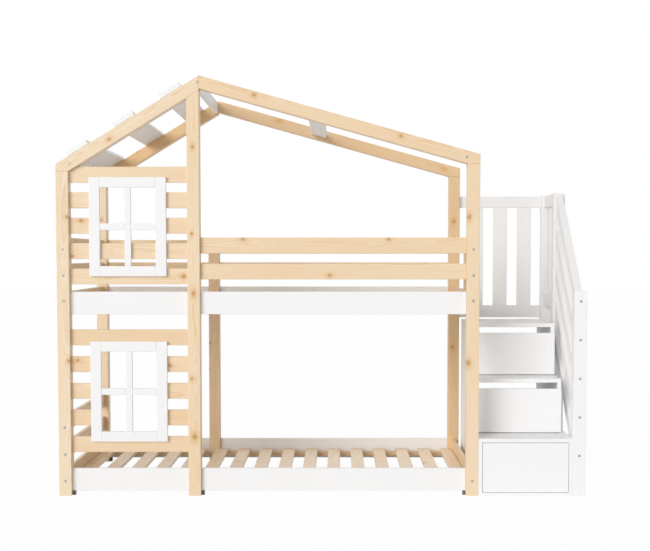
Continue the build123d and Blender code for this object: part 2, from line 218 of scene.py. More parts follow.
class PaintFinish(bpy.types.PropertyGroup):
    """Colour and surface of the white paint."""

    white: color_setting("Paint", "Main colour of the paint", (0.885, 0.885, 0.890))
    thin: color_setting(
        "Thin paint", "Colour where the paint lies thinner over the grain", (0.860, 0.850, 0.835)
    )
    ripple: length_setting("Ripple", "Depth of the marks that the roller leaves", 0.00012, 0.0)


class HardwareFinish(bpy.types.PropertyGroup):
    """Colours of the fasteners and feet, and sizes and places of the screws."""

    zinc: color_setting("Zinc", "Colour of the bolts, nuts and screws", (0.380, 0.372, 0.360))
    plastic: color_setting("Foot pads", "Colour of the moulded pads", (0.110, 0.090, 0.078))
    head_radius: length_setting("Screw head", "Radius of a screw's head", 0.0038)
    head_rise: length_setting(
        "Head rise", "How far a screw's head stands above the board", 0.0009, 0.0
    )
    slats: IntProperty(name="Slats", description="Slats in each bunk", default=16, min=2)
    slat_width: length_setting("Slat width", "Width of one slat", 0.068)
    seat: length_setting("Seat", "Distance from a slat's end to its screw", 0.0085)
    roof_board_width: length_setting("Roof board width", "Width of one roof board", 0.118)
    roof_board_thickness: length_setting(
        "Roof board thickness", "Thickness of one roof board", 0.025
    )
    roof_screw_gap: length_setting(
        "Roof screw gap", "Distance between the two screws at each end of a roof board", 0.070
    )
    window_stile: length_setting("Window stile", "Width of a window frame's upright", 0.053)


class StageSetting(bpy.types.PropertyGroup):
    """Floor, lamps and camera."""

    floor: color_setting("Floor", "Colour of the floor", (0.95, 0.95, 0.95))
    floor_glow: share_setting(
        "Floor white", "How much of the floor's colour the camera sees as plain white", 0.97
    )
    sky: strength_setting("Sky", "Strength of the even light from all round", 0.46)
    key: strength_setting("Key light", "Strength of the broad light from the front", 1.88)
    key_rise: angle_setting("Key height", "Angle of the key light above the floor", 18.0)
    key_swing: angle_setting(
        "Key swing", "Angle of the key light to the left of straight ahead", 35.0
    )
    spread: angle_setting(
        "Spread", "Apparent size of both lights, which softens their shadows", 38.0
    )
    fill: strength_setting("Fill light", "Strength of the broad light from behind", 0.42)
    fill_rise: angle_setting("Fill height", "Angle of the fill light above the floor", 40.0)
    focal_px: FloatProperty(
        name="Focal length",
        description="Focal length in pixels of a picture 650 pixels wide",
        default=1130.0,
        min=1.0,
    )
    distance: length_setting(
        "Distance", "From the camera to the front faces of the posts", 5.620, 0.1
    )
    eye_height: length_setting("Eye height", "Height of the camera above the floor", 1.208, 0.0)
    eye_along: length_setting(
        "Place along the bed", "From the bed's left face to the camera", 1.3944, -10.0
    )
    pitch: angle_setting("Pitch", "How far the camera looks down", 3.0)


def join(tree, inputs, values):
    """Links or sets inputs, by name or place."""
    for name, value in values.items():
        if isinstance(value, bpy.types.NodeSocket):
            tree.links.new(value, inputs[name])
        else:
            inputs[name].default_value = value


def add_node(tree, kind, values=None, **settings):
    """A new node, with its settings set and its inputs set or linked."""
    made = tree.nodes.new(kind)
    for name, value in settings.items():
        setattr(made, name, value)
    join(tree, made.inputs, values or {})
    return made


def calc(tree, operation, *values, clamp=False):
    """The result of a math node."""
    settings = {"operation": operation, "use_clamp": clamp}
    return add_node(tree, "ShaderNodeMath", dict(enumerate(values)), **settings).outputs[0]


def vector_calc(tree, operation, *vectors):
    """The result of a vector math node."""
    values = dict(enumerate(vectors))
    return add_node(tree, "ShaderNodeVectorMath", values, operation=operation).outputs[0]


def combine(tree, *parts):
    """A vector made of three values."""
    return add_node(tree, "ShaderNodeCombineXYZ", dict(enumerate(parts))).outputs[0]


def separate(tree, vector):
    """The three values of a vector."""
    return add_node(tree, "ShaderNodeSeparateXYZ", {0: vector}).outputs


def separate_color(tree, color):
    """The red, green and blue of a colour."""
    return add_node(tree, "ShaderNodeSeparateColor", {0: color}).outputs


def sum_of_squares(tree, *values):
    """The sum of the squares of two values."""
    return calc(tree, "ADD", *(calc(tree, "MULTIPLY", value, value) for value in values))


def scaled(tree, value, at_zero, at_one):
    """A value from 0 to 1, made to run from one number to another."""
    return calc(tree, "MULTIPLY_ADD", value, at_one - at_zero, at_zero)


def ramp(tree, value, low, high, new_low=0.0, new_high=1.0):
    """A smooth step of a value from one range to another."""
    ends = {"From Min": low, "From Max": high, "To Min": new_low, "To Max": new_high}
    values = {"Value": value, **ends}
    made = add_node(tree, "ShaderNodeMapRange", values, interpolation_type="SMOOTHSTEP")
    return made.outputs["Result"]


def mix_colors(tree, factor, first, second, blend="MIX"):
    """The mix of two colours, whose sockets come after those for numbers and vectors."""
    values = {0: factor, 6: first, 7: second}
    made = add_node(tree, "ShaderNodeMix", values, data_type="RGBA", blend_type=blend)
    return made.outputs[2]


def noise(tree, vector, scale, detail=2.0, roughness=0.5):
    """A noise texture's outputs. A scale of three numbers stretches it axis by axis."""
    if isinstance(scale, tuple):
        vector = vector_calc(tree, "MULTIPLY", vector, scale)
        scale = 1.0
    values = {"Vector": vector, "Scale": scale, "Detail": detail, "Roughness": roughness}
    return add_node(tree, "ShaderNodeTexNoise", values, noise_dimensions="3D").outputs


def new_group(name, inputs, outputs):
    """An empty shader group, with the sockets of its input and output nodes."""
    tree = bpy.data.node_groups.new(name, "ShaderNodeTree")
    for label, kind, default in inputs:
        socket = tree.interface.new_socket(label, in_out="INPUT", socket_type=kind)
        if default is not None:
            socket.default_value = default
    for label, kind in outputs:
        tree.interface.new_socket(label, in_out="OUTPUT", socket_type=kind)
    group_in = tree.nodes.new("NodeGroupInput")
    group_out = tree.nodes.new("NodeGroupOutput")
    return tree, group_in.outputs, group_out.inputs


def group_node(tree, name, build, values):
    """A node of the shader group of that name, which is built when it is first asked for."""
    group = bpy.data.node_groups.get(name) or build()
    return add_node(tree, "ShaderNodeGroup", values, node_tree=group)


FLOAT = "NodeSocketFloat"
COLOR = "NodeSocketColor"
VECTOR = "NodeSocketVector"
INTEGER = "NodeSocketInt"

# What each knot group adds to and hands on: the bend of the grain, the heart and the dark rim
KNOT_OUTPUTS = (("Lift", FLOAT), ("Mask", FLOAT), ("Rim", FLOAT))
KNOT_CHAIN = tuple((name, kind, 0.0) for name, kind in KNOT_OUTPUTS)
FINISH_OUTPUTS = (("Color", COLOR), ("Roughness", FLOAT), ("Height", FLOAT))
PINE_COLORS = ("Early", "Late", "Blush", "Heart", "Bark")

# A knot in shares of its radius: the soft edge of its heart, as a step down, the place and width of
# its rim, and how far the grain bends round it
HEART_STEP = (0.45, 1.15, 1.0, 0.0)
RIM_PLACE = 0.80
RIM_STEP = (0.0, 0.35, 1.0, 0.0)
BEND_ALONG = 2.6
BEND_ACROSS = 1.6

# A placed knot's wavy outline: the scale of the waves, and their size in metres
WAVE_SCALE = 110.0
WAVE_SIZE = 0.010

# Stray knots: the cell of wood that may hold one, in metres, the shift in cells from one seed to
# the next, the share of cells that hold none, the range of radii, and the radius of none, in metres
STRAY_CELL = (0.46, 0.085, 0.085)
SEED_SHIFT = (3.37, 1.91, 5.13)
EMPTY_CELLS = 0.52
STRAY_RADIUS = (0.005, 0.011)
NO_RADIUS = 0.00001

# Noises in pine: scales along, across and through the board, then detail and roughness
PITH_NOISE = ((0.9, 1.5, 1.5), 2.0)
RIPPLE_NOISE = ((6.0, 60.0, 60.0), 2.0)
FADE_NOISE = ((1.7, 14.0, 14.0), 1.0)
FIBRE_NOISE = ((9.0, 620.0, 620.0), 3.0, 0.6)
CLOUD_NOISE = ((1.3, 9.0, 9.0), 2.0)

# Where a board was cut from the log, in metres: how far along, where the pith lies by chance across
# and through the board, how far it drifts along the board, and the unevenness of the rings
LOG_LENGTH = 7.0
PITH_ACROSS = (-0.055, 0.055)
PITH_THROUGH = (-0.012, -0.097)
DRIFT_ACROSS = (-0.06, 0.06)
DRIFT_THROUGH = (-0.045, 0.045)
RIPPLE_SIZE = 0.0016

# Steps in pine: the dark start and sharp end of late wood within a ring, then where rings fade,
# where the board clouds over, and how far its fibres pale or darken it
LATE_START = (0.35, 0.88)
LATE_END = (0.93, 1.0, 1.0, 0.0)
FADE_STEP = (0.25, 0.75, 0.25, 0.85)
CLOUD_STEP = (0.30, 0.70, 0.0, 0.22)
STREAK_STEP = (0.25, 0.75, 0.93, 1.05)

# Strength of each colour in pine, chance in a board's warmth, and lift in metres to a halo's mask
LATE_STRENGTH = 0.85
HALO_STRENGTH = 0.90
HEART_STRENGTH = 0.42
RIM_STRENGTH = 0.30
WARMTH_CHANCE = (-0.20, 0.20)
LIFT_TO_HALO = 85.0

# Roughness of pine between and along its fibres, what late wood adds to it, and relative heights
PINE_ROUGHNESS = (0.36, 0.50)
LATE_ROUGHNESS = 0.06
FIBRE_RISE = 0.45
LATE_RISE = 0.5
RIM_RISE = -0.5

# Keeps the key of a white noise off the whole numbers, and half the step between board numbers
OFF_WHOLE = 0.37
HALF_STEP = 0.5

# Noises in paint, with scale and detail, and the step that draws the timber's grain
PEEL_NOISE = (420.0, 2.0)
PAINT_CLOUD_NOISE = (5.0, 3.0)
PAINT_GRAIN_NOISE = ((7.0, 260.0, 260.0), 3.0)
PAINT_GRAIN_STEP = (0.35, 0.70)

# How much grain and clouds thin the paint, its roughness by peel and clouds, and relative heights
THIN_BY_GRAIN = 0.5
THIN_BY_CLOUD = 0.35
PAINT_ROUGHNESS = (0.30, 0.40)
CLOUD_ROUGHNESS = 0.10
GRAIN_RISE = 0.8
PEEL_RISE = 0.5


def knot_shape(tree, along, across, distance, radius, source, target):
    """Masks of one knot, added to those that came in, from distances to its middle."""
    reach = calc(tree, "DIVIDE", distance, radius)
    mask = ramp(tree, reach, *HEART_STEP)
    rim = calc(tree, "ABSOLUTE", calc(tree, "SUBTRACT", reach, RIM_PLACE))
    rim = ramp(tree, rim, *RIM_STEP)
    long_part = calc(tree, "DIVIDE", along, calc(tree, "MULTIPLY", radius, BEND_ALONG))
    cross_part = calc(tree, "DIVIDE", across, calc(tree, "MULTIPLY", radius, BEND_ACROSS))
    fall = calc(tree, "MULTIPLY", sum_of_squares(tree, long_part, cross_part), -1.0)
    lift = calc(tree, "MULTIPLY", calc(tree, "EXPONENT", fall), radius)
    results = {
        "Lift": calc(tree, "ADD", lift, source["Lift"]),
        "Mask": calc(tree, "MAXIMUM", mask, source["Mask"]),
        "Rim": calc(tree, "MAXIMUM", rim, source["Rim"]),
    }
    join(tree, target, results)


def placed_knot_group():
    """A knot at a chosen place, running through the thickness of its board."""
    inputs = (
        ("Vector", VECTOR, None),
        ("Centre", VECTOR, None),
        ("Radius", FLOAT, 0.012),
        *KNOT_CHAIN,
    )
    tree, source, target = new_group("Placed knot", inputs, KNOT_OUTPUTS)
    waves = noise(tree, source["Vector"], WAVE_SCALE)["Color"]
    shift = vector_calc(tree, "SUBTRACT", waves, (0.5, 0.5, 0.5))
    shift = vector_calc(tree, "MULTIPLY", shift, (WAVE_SIZE, WAVE_SIZE, WAVE_SIZE))
    away = vector_calc(tree, "SUBTRACT", source["Vector"], source["Centre"])
    along, across, _ = separate(tree, vector_calc(tree, "ADD", away, shift))
    distance = calc(tree, "SQRT", sum_of_squares(tree, along, across))
    knot_shape(tree, along, across, distance, source["Radius"], source, target)
    return tree


def stray_knot_group():
    """Knots scattered at random through the wood."""
    inputs = (("Vector", VECTOR, None), ("Seed", FLOAT, 0.0), *KNOT_CHAIN)
    tree, source, target = new_group("Stray knots", inputs, KNOT_OUTPUTS)
    per_metre = tuple(1.0 / size for size in STRAY_CELL)
    spread = vector_calc(tree, "MULTIPLY", source["Vector"], per_metre)
    offset = combine(tree, *(calc(tree, "MULTIPLY", source["Seed"], part) for part in SEED_SHIFT))
    spread = vector_calc(tree, "ADD", spread, offset)
    cells = add_node(tree, "ShaderNodeTexVoronoi", {"Vector": spread, "Scale": 1.0}).outputs
    away = vector_calc(tree, "SUBTRACT", spread, cells["Position"])
    away = vector_calc(tree, "MULTIPLY", away, STRAY_CELL)
    along, across, _ = separate(tree, away)
    length = add_node(tree, "ShaderNodeVectorMath", {0: away}, operation="LENGTH")
    chance, size, _ = separate_color(tree, cells["Color"])
    present = calc(tree, "GREATER_THAN", chance, EMPTY_CELLS)
    radius = calc(tree, "MULTIPLY", scaled(tree, size, *STRAY_RADIUS), present)
    radius = calc(tree, "MAXIMUM", radius, NO_RADIUS)
    knot_shape(tree, along, across, length.outputs["Value"], radius, source, target)
    return tree


def pine_grain_group():
    """Growth rings, fibres and knots of one board or of a row of boards."""
    inputs = (
        ("Vector", VECTOR, None),
        ("Pitch", FLOAT, LONE_BOARD),
        ("Seed", FLOAT, 0.0),
        ("Tone", FLOAT, MIDDLING_TONE),
        ("First Cut", FLOAT, NOT_CUT[0]),
        ("Last Cut", FLOAT, NOT_CUT[1]),
        ("Ring Width", FLOAT, 0.004),
        *((name, COLOR, None) for name in PINE_COLORS),
        *KNOT_CHAIN,
    )
    tree, source, target = new_group("Pine grain", inputs, FINISH_OUTPUTS)
    along, wide, thick = separate(tree, source["Vector"])

    # Which board of the row this is, and the place within it
    number = calc(tree, "ROUND", calc(tree, "DIVIDE", wide, source["Pitch"]))
    inside = calc(tree, "SUBTRACT", wide, calc(tree, "MULTIPLY", number, source["Pitch"]))
    first_cut = calc(tree, "SUBTRACT", source["First Cut"], HALF_STEP)
    last_cut = calc(tree, "ADD", source["Last Cut"], HALF_STEP)
    above = calc(tree, "GREATER_THAN", number, first_cut)
    below = calc(tree, "LESS_THAN", number, last_cut)
    cut = calc(tree, "MULTIPLY", above, below)
    far_piece = calc(tree, "MULTIPLY", cut, calc(tree, "GREATER_THAN", along, 0.0))
    key = combine(tree, number, source["Seed"], calc(tree, "ADD", far_piece, OFF_WHOLE))
    lot = add_node(tree, "ShaderNodeTexWhiteNoise", {"Vector": key}, noise_dimensions="3D")
    first, second, third = separate_color(tree, lot.outputs["Color"])

    # The pith wanders along the board, so that the rings show as arches and long lines
    moved = calc(tree, "MULTIPLY_ADD", third, LOG_LENGTH, along)
    place = combine(tree, moved, inside, thick)
    drift = separate_color(tree, noise(tree, place, *PITH_NOISE)["Color"])
    pith_wide = scaled(tree, first, *PITH_ACROSS)
    pith_wide = calc(tree, "ADD", pith_wide, scaled(tree, drift[0], *DRIFT_ACROSS))
    pith_thick = scaled(tree, second, *PITH_THROUGH)
    pith_thick = calc(tree, "ADD", pith_thick, scaled(tree, drift[1], *DRIFT_THROUGH))
    across = calc(tree, "SUBTRACT", inside, pith_wide)
    through = calc(tree, "SUBTRACT", thick, pith_thick)
    radius = calc(tree, "SQRT", sum_of_squares(tree, across, through))
    radius = calc(tree, "ADD", radius, source["Lift"])
    ripple = noise(tree, place, *RIPPLE_NOISE)["Fac"]
    radius = calc(tree, "ADD", radius, calc(tree, "MULTIPLY", ripple, RIPPLE_SIZE))

    # Each ring darkens slowly and ends at a sharp edge
    ring = calc(tree, "FRACT", calc(tree, "DIVIDE", radius, source["Ring Width"]))
    dark = calc(tree, "MULTIPLY", ramp(tree, ring, *LATE_START), ramp(tree, ring, *LATE_END))
    fade = noise(tree, place, *FADE_NOISE)["Fac"]
    dark = calc(tree, "MULTIPLY", dark, ramp(tree, fade, *FADE_STEP))
    fibre = noise(tree, place, *FIBRE_NOISE)["Fac"]

    # The Tone input leans the node towards Blush; on the back right post and the back rafters this
    # lean is partly painted shade
    warmth = calc(tree, "ADD", source["Tone"], scaled(tree, third, *WARMTH_CHANCE), clamp=True)
    color = mix_colors(tree, warmth, source["Early"], source["Blush"])
    color = mix_colors(tree, calc(tree, "MULTIPLY", dark, LATE_STRENGTH), color, source["Late"])
    cloud = ramp(tree, noise(tree, place, *CLOUD_NOISE)["Fac"], *CLOUD_STEP)
    color = mix_colors(tree, cloud, color, source["Blush"])
    streak = ramp(tree, fibre, *STREAK_STEP)
    color = mix_colors(tree, 1.0, color, combine(tree, streak, streak, streak), "MULTIPLY")
    halo = calc(tree, "MULTIPLY", source["Lift"], LIFT_TO_HALO, clamp=True)
    for mask, strength, tint in (
        (halo, HALO_STRENGTH, "Heart"),
        (source["Mask"], HEART_STRENGTH, "Bark"),
        (source["Rim"], RIM_STRENGTH, "Bark"),
    ):
        color = mix_colors(tree, calc(tree, "MULTIPLY", mask, strength), color, source[tint])

    rough = scaled(tree, fibre, *PINE_ROUGHNESS)
    rough = calc(tree, "ADD", rough, calc(tree, "MULTIPLY", dark, LATE_ROUGHNESS))
    late_height = calc(tree, "MULTIPLY", dark, LATE_RISE)
    height = calc(tree, "MULTIPLY_ADD", fibre, FIBRE_RISE, late_height)
    height = calc(tree, "ADD", height, calc(tree, "MULTIPLY", source["Rim"], RIM_RISE))
    join(tree, target, {"Color": color, "Roughness": rough, "Height": height})
    return tree


def paint_film_group():
    """Sprayed and rolled paint: fine peel, soft unevenness and a hint of the wood below."""
    inputs = (
        ("Vector", VECTOR, None),
        ("Seed", FLOAT, 0.0),
        ("White", COLOR, None),
        ("Thin", COLOR, None),
        ("Grain", FLOAT, 0.5),
    )
    tree, source, target = new_group("Paint film", inputs, FINISH_OUTPUTS)
    offset = combine(tree, source["Seed"], 0.0, source["Seed"])
    place = vector_calc(tree, "ADD", source["Vector"], offset)
    peel = noise(tree, place, *PEEL_NOISE)["Fac"]
    cloud = noise(tree, place, *PAINT_CLOUD_NOISE)["Fac"]
    grain = ramp(tree, noise(tree, place, *PAINT_GRAIN_NOISE)["Fac"], *PAINT_GRAIN_STEP)
    grain = calc(tree, "MULTIPLY", grain, source["Grain"])
    thin = calc(tree, "MULTIPLY", cloud, THIN_BY_CLOUD)
    thin = calc(tree, "MULTIPLY_ADD", grain, THIN_BY_GRAIN, thin)
    rough = scaled(tree, peel, *PAINT_ROUGHNESS)
    results = {
        "Color": mix_colors(tree, thin, source["White"], source["Thin"]),
        "Roughness": calc(tree, "ADD", rough, calc(tree, "MULTIPLY", cloud, CLOUD_ROUGHNESS)),
        "Height": calc(
            tree, "MULTIPLY_ADD", grain, GRAIN_RISE, calc(tree, "MULTIPLY", peel, PEEL_RISE)
        ),
    }
    join(tree, target, results)
    return tree


# Share of its depth that a bump shows over wood and paint, depth of pine's grain in metres, and
# reflection of lacquer and paint
FINISH_BUMP = 0.6
PINE_DEPTH = 0.0003
LACQUER_ROUGHNESS = 0.25
PINE_SPECULAR = 0.35
PAINT_SPECULAR = 0.40

# Range of a fleck noise that counts, and the width in boards from which a node holds a row of them
FLECK_RANGE = (0.2, 0.8)
ROW_WIDTH = 1.5


def cleared_tree(owner):
    """The emptied node tree of a material or world."""
    owner.use_nodes = True
    owner.node_tree.nodes.clear()
    return owner.node_tree


def new_material(name):
    """A material with its shader and its object coordinates."""
    material = bpy.data.materials.new(name)
    tree = cleared_tree(material)
    shader = tree.nodes.new("ShaderNodeBsdfPrincipled")
    add_node(tree, "ShaderNodeOutputMaterial", {"Surface": shader.outputs[0]})
    coordinates = tree.nodes.new("ShaderNodeTexCoord")
    return material, tree, shader, coordinates.outputs["Object"]


def add_bump(tree, shader, height, strength, depth):
    """Joins a bump of that depth, in metres, to the shader."""
    values = {"Strength": strength, "Distance": depth, "Height": height}
    bump = add_node(tree, "ShaderNodeBump", values)
    join(tree, shader.inputs, {"Normal": bump.outputs[0]})


def finish_surface(tree, shader, group_outputs, depth):
    """Joins a group's colour, roughness and height to the shader."""
    wanted = {"Base Color": group_outputs["Color"], "Roughness": group_outputs["Roughness"]}
    join(tree, shader.inputs, wanted)
    add_bump(tree, shader, group_outputs["Height"], FINISH_BUMP, depth)


def board_frame(node, lie, board_width):
    """Turn and origin that put zero at the centre of the node's first board."""
    low, high = (Vector(corner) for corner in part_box(node))
    origin = (low + high) / 2
    if node.startswith("rafter"):
        slope = roof_slope(node)
        turn = slope if node.endswith("left") else -slope
        return Matrix.Rotation(turn, 3, "Y"), origin, turn
    wide_axis = ACROSS[lie][1]
    if high[wide_axis] - low[wide_axis] > board_width * ROW_WIDTH:
        origin[wide_axis] = low[wide_axis] + board_width / 2
    return Matrix.Identity(3), origin, 0.0


def board_vector(tree, source, lie, matrix, origin, turn):
    """Object coordinates turned so that the first runs along the grain."""
    values = {
        "Vector": source,
        "Location": -(matrix @ origin),
        "Rotation": (0.0, turn, 0.0),
    }
    mapping = add_node(tree, "ShaderNodeMapping", values, vector_type="POINT")
    parts = separate(tree, mapping.outputs[0])
    return combine(tree, *(parts[axis] for axis in ACROSS[lie]))


def knot_centre(spot, lie, matrix, origin):
    """A knot's place along and across its board, from its place on the front of the bed."""
    point = Vector((cad_bounds[0][0] + spot[0], 0.0, spot[1]))
    local = matrix @ (point - origin)
    along, across, _ = ACROSS[lie]
    return local[along], local[across], 0.0


def knot_results(tree, name, build, values):
    """What a knot group puts out, by name, for the next one."""
    outputs = group_node(tree, name, build, values).outputs
    return {label: outputs[label] for label, _ in KNOT_OUTPUTS}


def pine_material(node, lie, pitch, board_width, seed, finish):
    """Lacquered pine for one node, with its grain laid along its boards."""
    material, tree, shader, source = new_material(f"pine_{node}")
    matrix, origin, turn = board_frame(node, lie, board_width)
    vector = board_vector(tree, source, lie, matrix, origin, turn)
    chain = {}
    for spot in KNOTS.get(node, ()):
        centre = knot_centre(spot, lie, matrix, origin)
        values = {"Vector": vector, "Centre": centre, "Radius": spot[2], **chain}
        chain = knot_results(tree, "Placed knot", placed_knot_group, values)
    if not chain:
        values = {"Vector": vector, "Seed": seed}
        chain = knot_results(tree, "Stray knots", stray_knot_group, values)
    first_cut, last_cut = CUT_BOARDS.get(node, NOT_CUT)
    values = {
        "Vector": vector,
        "Pitch": pitch,
        "Seed": seed,
        # A node's lean to Blush, partly painted shade on the back right post and the back rafters
        "Tone": TONE_AND_SHADE.get(node, MIDDLING_TONE),
        "First Cut": first_cut,
        "Last Cut": last_cut,
        "Ring Width": finish.ring_width,
        **{name: (*getattr(finish, name.lower()), 1.0) for name in PINE_COLORS},
        **chain,
    }
    grain = group_node(tree, "Pine grain", pine_grain_group, values)
    finish_surface(tree, shader, grain.outputs, PINE_DEPTH)
    lacquer = {
        "Coat Weight": finish.gloss,
        "Coat Roughness": LACQUER_ROUGHNESS,
        "Specular IOR Level": PINE_SPECULAR,
    }
    join(tree, shader.inputs, lacquer)
    return material


def paint_material(name, seed, grain, lie, finish):
    """White paint, over timber that still shows its grain or over smooth board."""
    material, tree, shader, source = new_material(name)
    vector = board_vector(tree, source, lie, Matrix.Identity(3), Vector((0, 0, 0)), 0.0)
    values = {
        "Vector": vector,
        "Seed": seed,
        "White": (*finish.white, 1.0),
        "Thin": (*finish.thin, 1.0),
        "Grain": grain,
    }
    film = group_node(tree, "Paint film", paint_film_group, values)
    finish_surface(tree, shader, film.outputs, finish.ripple)
    join(tree, shader.inputs, {"Specular IOR Level": PAINT_SPECULAR})
    return material


def flecked_material(name, color, paler, scale, detail, roughness, bump, depth, metallic=0.0):
    """A material whose fine flecks show in its colour, roughness and relief."""
    material, tree, shader, source = new_material(name)
    flecks = noise(tree, source, scale, detail)["Fac"]
    pale = tuple(min(1.0, part * paler) for part in color)
    values = {
        "Base Color": mix_colors(tree, flecks, (*color, 1.0), (*pale, 1.0)),
        "Roughness": ramp(tree, flecks, *FLECK_RANGE, *roughness),
        "Metallic": metallic,
    }
    join(tree, shader.inputs, values)
    add_bump(tree, shader, flecks, bump, depth)
    return material


def dress(node, material):
    """Gives a CAD node one material in place of its own."""
    for entry in frame["nodes"][node].material_slots:
        entry.link = "OBJECT"
        entry.material = material


# What the seeds of the pine and paint materials start from and grow by
PINE_SEED_START = 0.5
PINE_SEED_STEP = 1.37
PAINT_SEED_STEP = 0.73


class DressPine(bpy.types.Operator):
    """Lay pine grain along every unpainted board."""

    bl_idname = "house_bed.dress_pine"
    bl_label = "Dress pine"

    def execute(self, context):
        finish = context.scene.house_bed_pine
        names = sorted(name for name, slot in SLOTS.items() if slot == "pine")
        for place, node in enumerate(names):
            rows = [row for row in PINE_BOARDS if node.startswith(row[0])]
            if not rows:
                raise RuntimeError(f"no grain is laid down for {node}")
            _, lie, pitch, width = rows[0]
            seed = place * PINE_SEED_STEP + PINE_SEED_START
            dress(node, pine_material(node, lie, pitch, width, seed, finish))
        return {"FINISHED"}


# Painted timber, whose grain shows faintly, by the way its boards run; the rest is smooth board
PAINTED_TIMBER = (
    ("side_rails", "along_x"),
    ("window", "along_z"),
    ("roof_boards", "along_y_flat"),
    ("roof_cross_board", "along_y_flat"),
    ("eave_rail", "along_y"),
    ("ridge_rail", "along_y"),
    ("guard_post", "along_z"),
    ("handrail", "along_y"),
    ("slope_rails", "along_y"),
    ("side_guard", "along_y"),
    ("back_guard", "along_x"),
)
TIMBER_GRAIN = 0.55
SMOOTH_BOARD = ("along_x", 0.0)


class DressPaint(bpy.types.Operator):
    """Paint the white timber and the staircase boards."""

    bl_idname = "house_bed.dress_paint"
    bl_label = "Dress paint"

    def execute(self, context):
        finish = context.scene.house_bed_paint
        names = sorted(name for name, slot in SLOTS.items() if slot == "white_wood")
        for place, node in enumerate(names):
            rows = ((lie, TIMBER_GRAIN) for start, lie in PAINTED_TIMBER if node.startswith(start))
            lie, grain = next(rows, SMOOTH_BOARD)
            seed = place * PAINT_SEED_STEP
            dress(node, paint_material(f"paint_{node}", seed, grain, lie, finish))
        return {"FINISHED"}


class DressHardware(bpy.types.Operator):
    """Finish the bolts and nuts in bright zinc and the foot pads in moulded plastic."""

    bl_idname = "house_bed.dress_hardware"
    bl_label = "Dress hardware"

    def execute(self, context):
        finish = context.scene.house_bed_hardware
        zinc = flecked_material(
            "zinc",
            finish.zinc,
            paler=1.25,
            scale=900.0,
            detail=3.0,
            roughness=(0.24, 0.42),
            bump=0.3,
            depth=0.0001,
            metallic=1.0,
        )
        plastic = flecked_material(
            "foot_plastic",
            finish.plastic,
            paler=1.8,
            scale=1300.0,
            detail=2.0,
            roughness=(0.45, 0.62),
            bump=0.4,
            depth=0.0002,
        )
        finishes = {"steel": zinc, "dark_plastic": plastic}
        for node, slot in SLOTS.items():
            if slot in finishes:
                dress(node, finishes[slot])
        return {"FINISHED"}


def screw_head(radius, rise):
    """A domed screw head with a cross recess, centred on the surface that it is driven into."""
    sides = 24

    # The cross: half the width of its arms, their reach, its depth and how far it narrows
    arm = radius * 0.16
    reach = radius * 0.62
    depth = rise * 1.4
    taper = 0.8
    cross = [
        (arm, arm), (reach, arm), (reach, -arm), (arm, -arm), (arm, -reach), (-arm, -reach),
        (-arm, -arm), (-reach, -arm), (-reach, arm), (-arm, arm), (-arm, reach), (arm, reach),
    ]

    # The dome: share of the radius and height of each ring, from its flat top down
    dome = ((0.80, rise), (0.94, rise * 0.72), (1.0, 0.0), (0.98, -rise))
    shape = bmesh.new()
    inner = [shape.verts.new((x, y, rise)) for x, y in cross]
    rings = []
    for share, height in dome:
        ring = []
        for step in range(sides):
            angle = math.tau * step / sides
            x = math.cos(angle) * radius * share
            y = math.sin(angle) * radius * share
            ring.append(shape.verts.new((x, y, height)))
        rings.append(ring)
    edges = []
    for loop in (inner, rings[0]):
        for first, second in zip(loop, loop[1:] + loop[:1]):
            edges.append(shape.edges.new((first, second)))
    bmesh.ops.triangle_fill(shape, edges=edges, use_beauty=True)
    centre = [face for face in shape.faces if all(vert in inner for vert in face.verts)]
    bmesh.ops.delete(shape, geom=centre, context="FACES_ONLY")
    for upper, lower in zip(rings, rings[1:]):
        for step in range(sides):
            after = (step + 1) % sides
            shape.faces.new((upper[step], lower[step], lower[after], upper[after]))
    shape.faces.new(list(reversed(rings[-1])))
    floor = [shape.verts.new((x * taper, y * taper, rise - depth)) for x, y in cross]
    for step in range(len(cross)):
        after = (step + 1) % len(cross)
        shape.faces.new((inner[step], inner[after], floor[after], floor[step]))
    shape.faces.new(floor)
    bmesh.ops.recalc_face_normals(shape, faces=shape.faces)
    mesh = bpy.data.meshes.new("screw_head")
    shape.to_mesh(mesh)
    shape.free()
    return mesh


